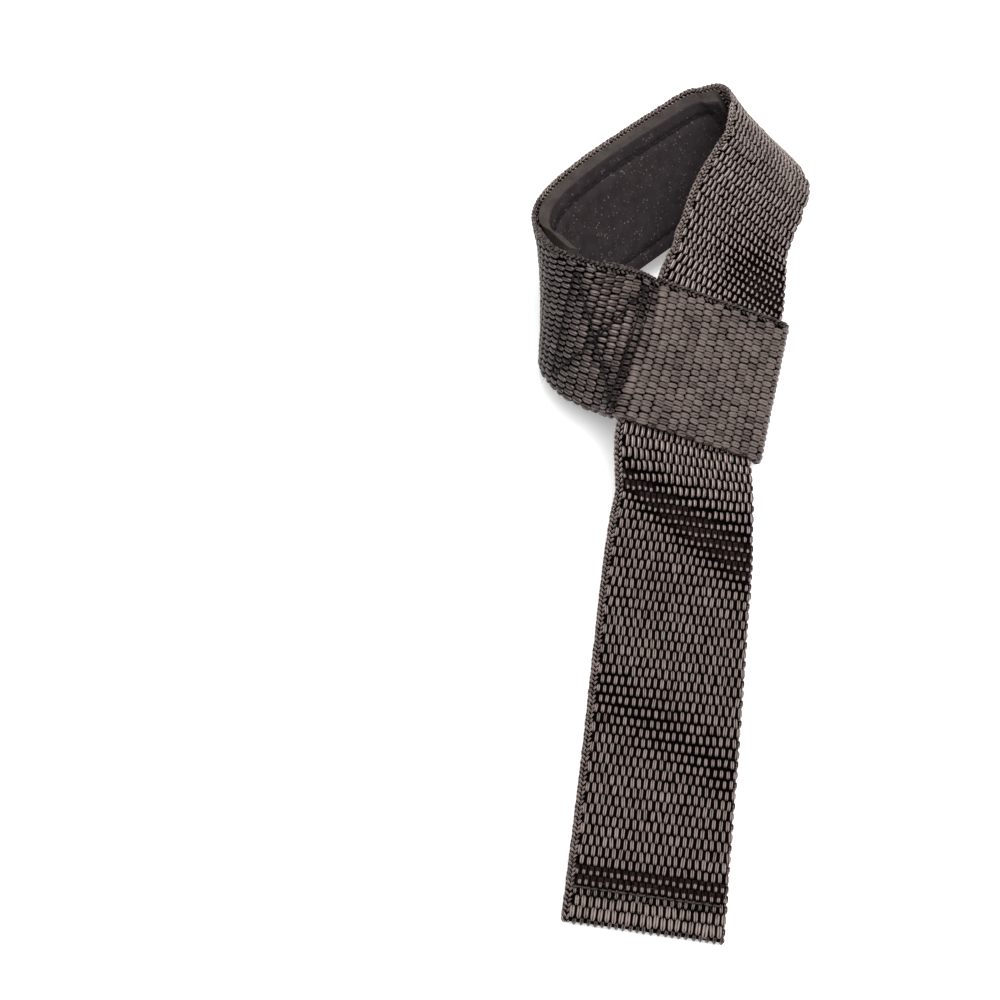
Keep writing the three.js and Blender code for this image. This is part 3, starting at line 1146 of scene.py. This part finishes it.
        # painted shade bands, where only the grains' lower ends are left to catch the light: a slanting one
        # where the tail dips, a second further down the tail, one past the eye and one behind the hem
        dip = spots["tail turns"] - 7.0 - 0.54 * w
        hollow = np.clip(1.1 * hill(s, dip, 6.0 + 0.13 * w), 0, 0.9)
        second = 0.38 * hill(s - dip, -56, 7.0)
        past_eye = 0.85 * hill(s - spots["leaves the eye"], 4, 13) * rising(w, -10, 18)
        behind = np.clip(1.3 * hill(s - hem, 3.4, 3.1, 4), 0, 0.85)
        return np.maximum.reduce([hollow, second, past_eye, behind])

    def _shade(self, grains: Laid, hem: float) -> None:
        """Draw in and lighten grains in the painted shade bands where the tail dips, so only their lower ends
        show as painted highlights.

        Args:
            grains: the grains of both faces.
            hem: path length of the hem's seam.
        """
        outer = np.where(np.abs(grains.roll) < 1, 1.0, 0.0)
        drawn = outer * self._painted_shade_bands(grains.s, grains.w, hem)
        grains.s -= 0.85 * drawn
        grains.size[:, 0] *= 1 - 0.66 * drawn
        grains.size[:, 1] *= 1 - 0.34 * drawn
        grains.size[:, 2] *= 1 - 0.12 * drawn
        grains.tone[:] = np.clip(grains.tone + 0.25 * drawn, *TONE_RANGE)
        # painted light: the plump row before the hem's seam lighter
        plump = outer * hill(grains.s - hem, -4.4, 1.7)
        grains.size[:, 1] *= 1 + 0.34 * plump
        grains.tone[:] += 0.12 * plump
        # painted shade: the rows at the hem's turn and under it darker
        end = outer * falling(grains.s, hem - 6.0, 1.2)
        grains.tone[:] -= 0.9 * end
        grains.size[:, 1] *= 1 - 0.25 * end
        # painted shade: the grains that the hem's seam pulls down darker
        pressed = outer * hill(grains.s - hem, -0.9, 1.1)
        grains.size[:, :2] *= 1 - 0.12 * pressed[:, None]
        grains.size[:, 2] *= 1 - 0.45 * pressed
        grains.tone[:] -= 0.25 * pressed

    @staticmethod
    def _press(grains: Laid, seams: list[tuple[float, float, float, float]]) -> None:
        """Sink the grains that a seam's thread pulls down, and darken them with painted shade.

        Args:
            grains: the grains of both faces.
            seams: ends of each seam on the outer face, as path length and across.
        """
        outer = np.abs(grains.roll) < 1
        for s0, w0, s1, w1 in seams:
            way = np.array([s1 - s0, w1 - w0])
            reach = np.stack([grains.s - s0, grains.w - w0], axis=-1)
            t = np.clip(reach @ way / (way @ way), 0, 1)
            apart = np.linalg.norm(reach - t[:, None] * way, axis=1)
            pull = np.where(outer, hill(apart, 0, 1.15), 0.0)
            grains.size[:, 2] *= 1 - 0.38 * pull
            grains.size[:, 1] *= 1 - 0.12 * pull
            # painted shade along the seam's groove
            grains.tone[:] = np.clip(grains.tone - 0.42 * pull, *TONE_RANGE)

    def cover(self, pad_from: float, pad_to: float,
              seams: list[tuple[float, float, float, float]]) -> dict[str, Laid]:
        """All grains by zone, without those that a fold or the glued pad swallows.

        Args:
            pad_from: path length where the pad starts.
            pad_to: path length where the pad ends.
            seams: ends of each seam on the outer face.

        Returns:
            Name of each weave piece and its grains.
        """
        route = self.route
        body, edges = self.grains(), self.selvages()
        bend = route.bend(body.s)
        side = np.where(np.abs(body.roll) < 1, 1.0, -1.0)
        swallowed = (bend * side) > self.swallowing_bend
        tucked = body.s > route.spots["back ends"] + self.tucked_past
        glued = (side < 0) & (body.s > pad_from + self.glued_past) & (body.s < pad_to - self.glued_short)
        glued &= np.abs(body.w) < self.glued_half
        body = body.keep(~(swallowed | glued | (tucked & (side > 0))))
        # painted light: the selvage grains lighter from the start of the left side round to the eye
        edges.tone[:] += np.where(edges.s > route.spots["left starts"], 0.30, 0.0)
        self._plump(body)
        self._press(body, seams)
        self._shade(body, seams[0][0])
        every = Laid.join([body, edges])
        lift, left = route.spots["rises"] - self.tail_short, route.spots["left starts"]
        return {
            "weave_tail": every.keep(every.s < lift),
            "weave_loop": every.keep((every.s >= lift) & (every.s < left)),
            "weave_eye": every.keep(every.s >= left),
        }


# The pad


@dataclass
class Pad:
    """The neoprene pad and its knitted lining, on the wrist side of the webbing."""

    route: Route
    foam_width: float = 36.0
    foam_thick: float = 3.2
    foam_slant: float = 1.3
    lining_thick: float = 0.6
    quilt_inset: float = 4.2
    quilt_depth: float = 0.95
    contact_gap: float = 0.3
    starts_past: float = 0.19
    ends_past: float = 0.03
    ride_share: float = 0.72
    ride_layers: float = 1.1
    stitch: float = 2.9
    glue: float = 0.05
    run_step: float = 0.8
    columns: int = 47
    edge_hollow: float = 0.22
    crease: float = 42.0

    def __post_init__(self) -> None:
        """Find where the pad starts and ends."""
        spots, width = self.route.spots, self.route.width
        self.start = spots["bend middle"] + self.starts_past * width
        self.end = spots["left middle"] + self.ends_past * width
        self.length = self.end - self.start
        self.edge = self.foam_width / 2 - self.foam_slant

    def under(self, run: np.ndarray) -> np.ndarray:
        """Distance from the webbing's middle layer to the pad's underside."""
        u = np.clip((run / self.length - self.ride_share) / (1 - self.ride_share), 0, 1)
        return self.route.rest + self.contact_gap + self.ride_layers * self.route.layer * u * u * (3 - 2 * u)

    def inward(self, run: np.ndarray, w: np.ndarray) -> np.ndarray:
        """Distance in from the nearest edge of the lining, rounded at the corners."""
        near = np.stack([self.edge - np.abs(w), run, self.length - run])
        return -1.2 * np.log(np.sum(np.exp(-near / 1.2), axis=0))

    def drawn(self, run: np.ndarray, w: np.ndarray) -> np.ndarray:
        """How far the border seam draws the wrist side down."""
        inward = self.inward(run, w)
        pucker = 1 + 0.22 * np.cos(2 * math.pi * (run + 0.8 * w) / self.stitch)
        groove = hill(inward, self.quilt_inset, 1.15) * self.quilt_depth * pucker
        border = np.where(inward < self.quilt_inset, 0.35 * (1 - inward / self.quilt_inset), 0)
        crown = 0.35 * rising(inward, self.quilt_inset, 10)
        wave = 0.12 * np.sin(run / 5.3 + 0.4 * w) * rising(inward, self.quilt_inset, 4)
        return groove + border - crown + wave

    def _sheet(self, name: str, low: Callable, high: Callable, low_edge: float, high_edge: float,
               material: bpy.types.Material) -> bpy.types.Object:
        """A closed slab between two height functions.

        Args:
            name: the piece's name.
            low: height of the side toward the webbing, from run and across.
            high: height of the wrist side, from run and across.
            low_edge: half width toward the webbing.
            high_edge: half width on the wrist side.
            material: its material.

        Returns:
            The object.
        """
        runs = np.linspace(0, self.length, int(self.length / self.run_step))
        even = np.linspace(-1, 1, self.columns)
        u = np.sin(even * math.pi / 2) * 0.35 + even * 0.65
        rows = []
        for side, half in ((low, low_edge), (high, high_edge)):
            w = u[None, :] * half + 0 * runs[:, None]
            r = runs[:, None] + 0 * w
            rows.append((r, w, side(r, w)))
        # three rows down each cut edge keep it softly hollow
        sides = []
        for sign in (1, -1):
            for k in (0.25, 0.5, 0.75):
                col = -1 if sign > 0 else 0
                r = rows[0][0][:, col]
                w = rows[0][1][:, col] * (1 - k) + rows[1][1][:, col] * k
                w = w - sign * self.edge_hollow * math.sin(math.pi * k)
                h = rows[0][2][:, col] * (1 - k) + rows[1][2][:, col] * k
                sides.append((r[:, None], w[:, None], h[:, None]))
        right, left = sides[:3], sides[3:]
        ring = [rows[0], *right, tuple(v[:, ::-1] for v in rows[1]), *reversed(left)]
        r, w, h = (np.concatenate([part[k] for part in ring], axis=1) for k in range(3))
        count, each = r.shape
        points = self.route.place((self.start + r).ravel(), w.ravel(), -h.ravel())
        faces = [face[::-1] for face in tube_faces(count, each)]
        # end caps: a strip between the two wide sides, then the cut edges' rows
        n = len(u)
        for base, flip in ((0, False), ((count - 1) * each, True)):
            top = [n + 3 + n - 1 - j for j in range(n)]
            strip = [(j, j + 1, top[j + 1], top[j]) for j in range(n - 1)]
            strip.append((n - 1, n, n + 1, n + 2, n + 3))
            strip.append((0, 2 * n + 2, 2 * n + 3, 2 * n + 4, 2 * n + 5))
            for face in strip:
                face = tuple(base + v for v in face)
                faces.append(face[::-1] if flip else face)
        weave = np.stack([w.ravel(), r.ravel()], axis=-1)
        piece = make_object(name, points, faces, material, weave, np.full(len(points), 0.5))
        bpy.ops.object.select_all(action="DESELECT")
        piece.select_set(True)
        bpy.context.view_layer.objects.active = piece
        bpy.ops.object.mode_set(mode="EDIT")
        bpy.ops.mesh.select_all(action="SELECT")
        bpy.ops.mesh.normals_make_consistent(inside=False)
        bpy.ops.object.mode_set(mode="OBJECT")
        bpy.ops.object.shade_smooth_by_angle(angle=math.radians(self.crease))
        return piece

    def foam(self, material: bpy.types.Material) -> bpy.types.Object:
        """The neoprene with its slanted cut edge."""
        return self._sheet("neoprene_pad", lambda r, w: self.under(r), self.face,
                           self.foam_width / 2, self.edge, material)

    def lining(self, material: bpy.types.Material) -> bpy.types.Object:
        """The knitted cloth on the wrist side."""
        return self._sheet("pad_lining_cloth", lambda r, w: self.face(r, w) + self.glue, self.top,
                           self.edge - 0.05, self.edge - 0.25, material)

    def face(self, run: np.ndarray, w: np.ndarray) -> np.ndarray:
        """Height of the foam's wrist side off the webbing's middle layer."""
        return self.under(run) + self.foam_thick - self.drawn(run, w)

    def top(self, run: np.ndarray, w: np.ndarray) -> np.ndarray:
        """Height of the lining's face off the webbing's middle layer."""
        return self.face(run, w) + self.glue + self.lining_thick


# Stitching


@dataclass
class Stitching:
    """Rows of sewing thread on the webbing and the pad, and the loose fibres beside them."""

    route: Route
    pad: Pad
    thread: float = 0.24
    pitch: float = 2.9
    fibre_radius: float = 0.045
    fibre_steps: int = 6
    seed: int = 11

    def _along(self, way: list[tuple[float, float]], pitch: float) -> tuple[np.ndarray, ...]:
        """Even stitches along a polyline of path length and across positions.

        Args:
            way: the polyline's corners.
            pitch: spacing of the stitches.

        Returns:
            Middles (s, w) and swing of each stitch.
        """
        corners = np.array(way)
        steps = np.linalg.norm(np.diff(corners, axis=0), axis=1)
        run = run_along(corners)
        count = max(1, int(round(run[-1] / pitch)))
        middle = (np.arange(count) + 0.5) * run[-1] / count
        s, w = np.interp(middle, run, corners[:, 0]), np.interp(middle, run, corners[:, 1])
        which = np.clip(np.searchsorted(run, middle) - 1, 0, len(steps) - 1)
        way_s, way_w = np.diff(corners, axis=0)[which].T
        return s, w, np.arctan2(way_w, way_s)

    def sewn(self, way: list[tuple[float, float]], height: float, face: Face,
             pitch: float | None = None) -> Laid:
        """A row of stitches on the webbing.

        Args:
            way: the polyline's corners, path length and across.
            height: distance of the thread off the middle layer.
            face: the face that shows it.
            pitch: spacing, if not the usual one.

        Returns:
            The stitches.
        """
        chance = np.random.default_rng(self.seed + len(way) + int(abs(way[0][0])))
        pitch = pitch or self.pitch
        s, w, swing = self._along(way, pitch)
        n = len(s)
        size = np.tile([pitch * 0.50, self.thread, self.thread * 0.9], (n, 1))
        size *= 1 + 0.08 * chance.standard_normal((n, 1))
        roll = 0.0 if face is Face.OUTER else math.pi
        if face is Face.INNER:
            swing = -swing
        return Laid(s, w + 0.08 * chance.standard_normal(n), np.full(n, height * face.value),
                    swing + 0.07 * chance.standard_normal(n), np.full(n, roll), size,
                    np.clip(0.6 + 0.2 * chance.standard_normal(n), 0, 1))

    def hem(self) -> Laid:
        """The seam across the hem."""
        return self.sewn(self.hem_line(), 1.00, Face.OUTER, 2.2)

    def hem_line(self) -> list[tuple[float, float]]:
        """Ends of the hem's seam."""
        at = self._hem_turn() + self.route.hem_length - 1.6
        return [(at, -17.6), (at, 17.6)]

    def _hem_turn(self) -> float:
        """Path length of the middle of the hem's turn."""
        near = self.route.s < 2.5 * self.route.hem_length
        return float(self.route.s[near][np.argmin(self.route.p[near][:, 1])])

    def eye(self) -> Laid:
        """The seam beside the eye and the crossed box left of it."""
        return Laid.join([self.sewn(row, 0.86, Face.OUTER) for row in self.eye_lines()])

    def eye_lines(self) -> list[list[tuple[float, float]]]:
        """Ends of the seams beside the eye: two lines, a cross, and the line that closes the box."""
        seam = self.route.spots["seam"]
        return [
            [(seam + 1.6, -17.8), (seam - 1.2, 17.8)],
            [(seam - 1.0, -14.8), (seam - 2.4, 15.0)],
            [(seam - 19.0, -14.0), (seam - 2.4, 15.0)],
            [(seam - 19.0, 14.5), (seam - 1.2, -14.5)],
            [(seam - 20.0, -14.5), (seam - 20.0, 15.0)],
        ]

    def border(self) -> Laid:
        """The quilted border seam of the pad, laid in its groove."""
        pad = self.pad
        inset = pad.quilt_inset
        a, b, e = inset, pad.length - inset, pad.edge - inset
        way = [(a, -e), (b, -e), (b, e), (a, e), (a, -e)]
        s, w, swing = self._along(way, self.pad.stitch)
        n = len(s)
        size = np.tile([self.pad.stitch * 0.46, self.thread, self.thread * 0.8], (n, 1))
        height = pad.top(s, w) + 0.02
        chance = np.random.default_rng(self.seed)
        return Laid(s + pad.start, w, -height, -swing, np.full(n, math.pi), size,
                    np.clip(0.5 + 0.2 * chance.standard_normal(n), 0, 1))

    def fibres(self, material: bpy.types.Material) -> bpy.types.Object:
        """Loose fibres at the seams and along the selvages.

        Args:
            material: their material.

        Returns:
            The object.
        """
        chance = np.random.default_rng(self.seed + 5)
        route = self.route
        seam, hem = route.spots["seam"], self._hem_turn() + route.hem_length
        points, faces, weave, steps = [], [], [], self.fibre_steps
        homes = [(seam - chance.uniform(0, 16), chance.uniform(-17, 17), 1.15) for _ in range(46)]
        homes += [(hem - chance.uniform(0, 5), chance.uniform(-18, 18), 1.1) for _ in range(34)]
        homes += [(chance.uniform(20, route.spots["fold"]), chance.choice([-1, 1]) * 18.9, 0.2)
                  for _ in range(60)]
        for s, w, h in homes:
            length = chance.uniform(1.2, 4.0)
            angle, bow = chance.uniform(0, 2 * math.pi), chance.uniform(-0.9, 0.9)
            rise = chance.uniform(0.1, 0.5)
            base = len(points)
            for k in range(steps + 1):
                t = k / steps
                a = angle + bow * t
                centre = (s + length * t * math.cos(a), w + length * t * math.sin(a),
                          h + rise * math.sin(math.pi * t))
                for side in range(3):
                    q = 2 * math.pi * side / 3
                    r = self.fibre_radius * (1 - 0.6 * t)
                    points.append((centre[0] + r * math.cos(q) * math.sin(a),
                                   centre[1] - r * math.cos(q) * math.cos(a),
                                   centre[2] + r * math.sin(q)))
                    weave.append((w, s + t))
            faces += tube_faces(steps + 1, 3, base)
            faces.append((base + 2, base + 1, base))
            faces.append((base + 3 * steps, base + 3 * steps + 1, base + 3 * steps + 2))
        local = np.array(points)
        placed = route.place(local[:, 0], local[:, 1], local[:, 2])
        placed[:, 2] = np.maximum(placed[:, 2], 0.05)
        return make_object("loose_fibres", placed, faces, material, np.array(weave),
                           np.full(len(points), 0.8))


# The studio


@dataclass
class Studio:
    """Pale table, soft lights and the camera."""

    aim: tuple[float, float, float]
    elevation: float = 64.0
    distance: float = 0.4635
    view_half: float = 500.0 / 1795.0
    softbox_place: tuple[float, float, float] = (0.10, -0.06, 1.10)
    softbox_side: float = 1.05
    softbox_watts: float = 26.0
    sky: float = 0.20
    floor_glow: float = 0.35

    def camera(self) -> None:
        """The camera at the photograph's angle."""
        data = bpy.data.cameras.new("camera")
        data.sensor_width = 36.0
        data.lens = data.sensor_width / 2 / self.view_half
        data.clip_start, data.clip_end = 0.01, 20
        camera = bpy.data.objects.new("camera", data)
        e = math.radians(self.elevation)
        aim = Vector(self.aim)
        camera.location = aim + Vector((0, -math.cos(e), math.sin(e))) * self.distance
        camera.rotation_euler = (math.pi / 2 - e, 0, 0)
        bpy.context.scene.collection.objects.link(camera)
        bpy.context.scene.camera = camera

    def floor(self) -> None:
        """A wide pale table."""
        bpy.ops.object.select_all(action="DESELECT")
        bpy.ops.mesh.primitive_plane_add(size=6.0, location=(0, 0, 0))
        floor = bpy.context.active_object
        floor.name = "floor"
        material, tree, shader = new_material("pale floor", 0.9, 0.1)
        place, noise = tree.nodes.new("ShaderNodeTexCoord"), tree.nodes.new("ShaderNodeTexNoise")
        noise.inputs["Scale"].default_value = 3.0
        ramp = ramp_node(tree, (0.90, 0.90, 0.90), (0.93, 0.93, 0.93), 0.0, 1.0)
        # lit from below like a light table, so that the shadows stay faint
        shader.inputs["Emission Strength"].default_value = self.floor_glow
        wire(tree,
             (place.outputs["Object"], noise.inputs["Vector"]),
             (noise.outputs[0], ramp.inputs[0]),
             (ramp.outputs["Color"], shader.inputs["Base Color"]),
             (ramp.outputs["Color"], shader.inputs["Emission Color"]))
        floor.data.materials.append(material)

    def lights(self) -> None:
        """A broad softbox overhead, a little in front and to the right, and a dim even sky."""
        data = bpy.data.lights.new("softbox", "AREA")
        data.shape, data.size, data.energy = "SQUARE", self.softbox_side, self.softbox_watts
        light = bpy.data.objects.new("softbox", data)
        light.location = self.softbox_place
        light.rotation_euler = (-Vector(self.softbox_place)).to_track_quat("-Z", "Y").to_euler()
        bpy.context.scene.collection.objects.link(light)
        world = bpy.data.worlds.new("studio")
        bpy.context.scene.world = world
        world.use_nodes = True
        background = world.node_tree.nodes["Background"]
        background.inputs["Color"].default_value = (1, 1, 1, 1)
        background.inputs["Strength"].default_value = self.sky
        bpy.context.scene.view_settings.view_transform = "Standard"


# Putting it together


def hand_over(piece: bpy.types.Object) -> None:
    """Let a piece ride with the strap.

    Args:
        piece: the piece.
    """
    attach(piece, BODY)
    log.info("%s: %d faces", piece.name, len(piece.data.polygons))


def main() -> None:
    """Build the strap, piece by piece, and its studio."""
    logging.basicConfig(level=logging.INFO, format="%(name)s: %(message)s")
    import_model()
    route = Route()
    studio = Studio(aim=tuple(route.shift * MM))
    studio.camera()
    studio.floor()
    studio.lights()

    shade = Shade()
    grain_yarn, front_yarn_painted_light, core_yarn_painted_shade = (shade.yarn(finish) for finish in (GRAIN_YARN, FRONT_YARN_PAINTED_LIGHT, CORE_YARN_PAINTED_SHADE))
    thread, dark_thread = shade.yarn(SEWING_THREAD), shade.yarn(QUILT_THREAD)
    webbing, pad = Webbing(route), Pad(route)
    stitching = Stitching(route, pad)
    seams = [(*line[0], *line[1]) for line in [stitching.hem_line(), *stitching.eye_lines()]]

    # paint near-black shade into the ground's gaps between the grains
    shade.gaps(core_yarn_painted_shade, webbing.first_grain, webbing.step, webbing.pitch)
    ground = webbing.ground(core_yarn_painted_shade, seams[0][0])
    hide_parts("webbing_strap")
    hand_over(ground)
    pill, leaf = dome_shape(3.2, 0.70, 0.62), dome_shape(2.15, 0.72, 0.86)
    for name, laid in webbing.cover(pad.start, pad.end, seams).items():
        # the front and the eye take the leaf and the copy of the yarn with its own painted light
        shape, yarn = (leaf, front_yarn_painted_light) if name == "weave_eye" else (pill, grain_yarn)
        hand_over(laid.build(name, route, shape, yarn))

    foam = pad.foam(shade.foam(NEOPRENE))
    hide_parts("foam_pad")
    hand_over(foam)
    lining = pad.lining(shade.knit(LINING))
    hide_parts("pad_lining")
    hand_over(lining)

    # a stitch is a closed bead, its axis laid along X
    bead = ball_shape(6, 5, (0, 90, 0))
    hand_over(stitching.hem().build("hem_seam", route, bead, thread))
    hand_over(stitching.eye().build("eye_seam", route, bead, dark_thread))
    hand_over(stitching.border().build("pad_border_seam", route, bead, dark_thread))
    hand_over(stitching.fibres(thread))


if __name__ == "__main__":
    main()
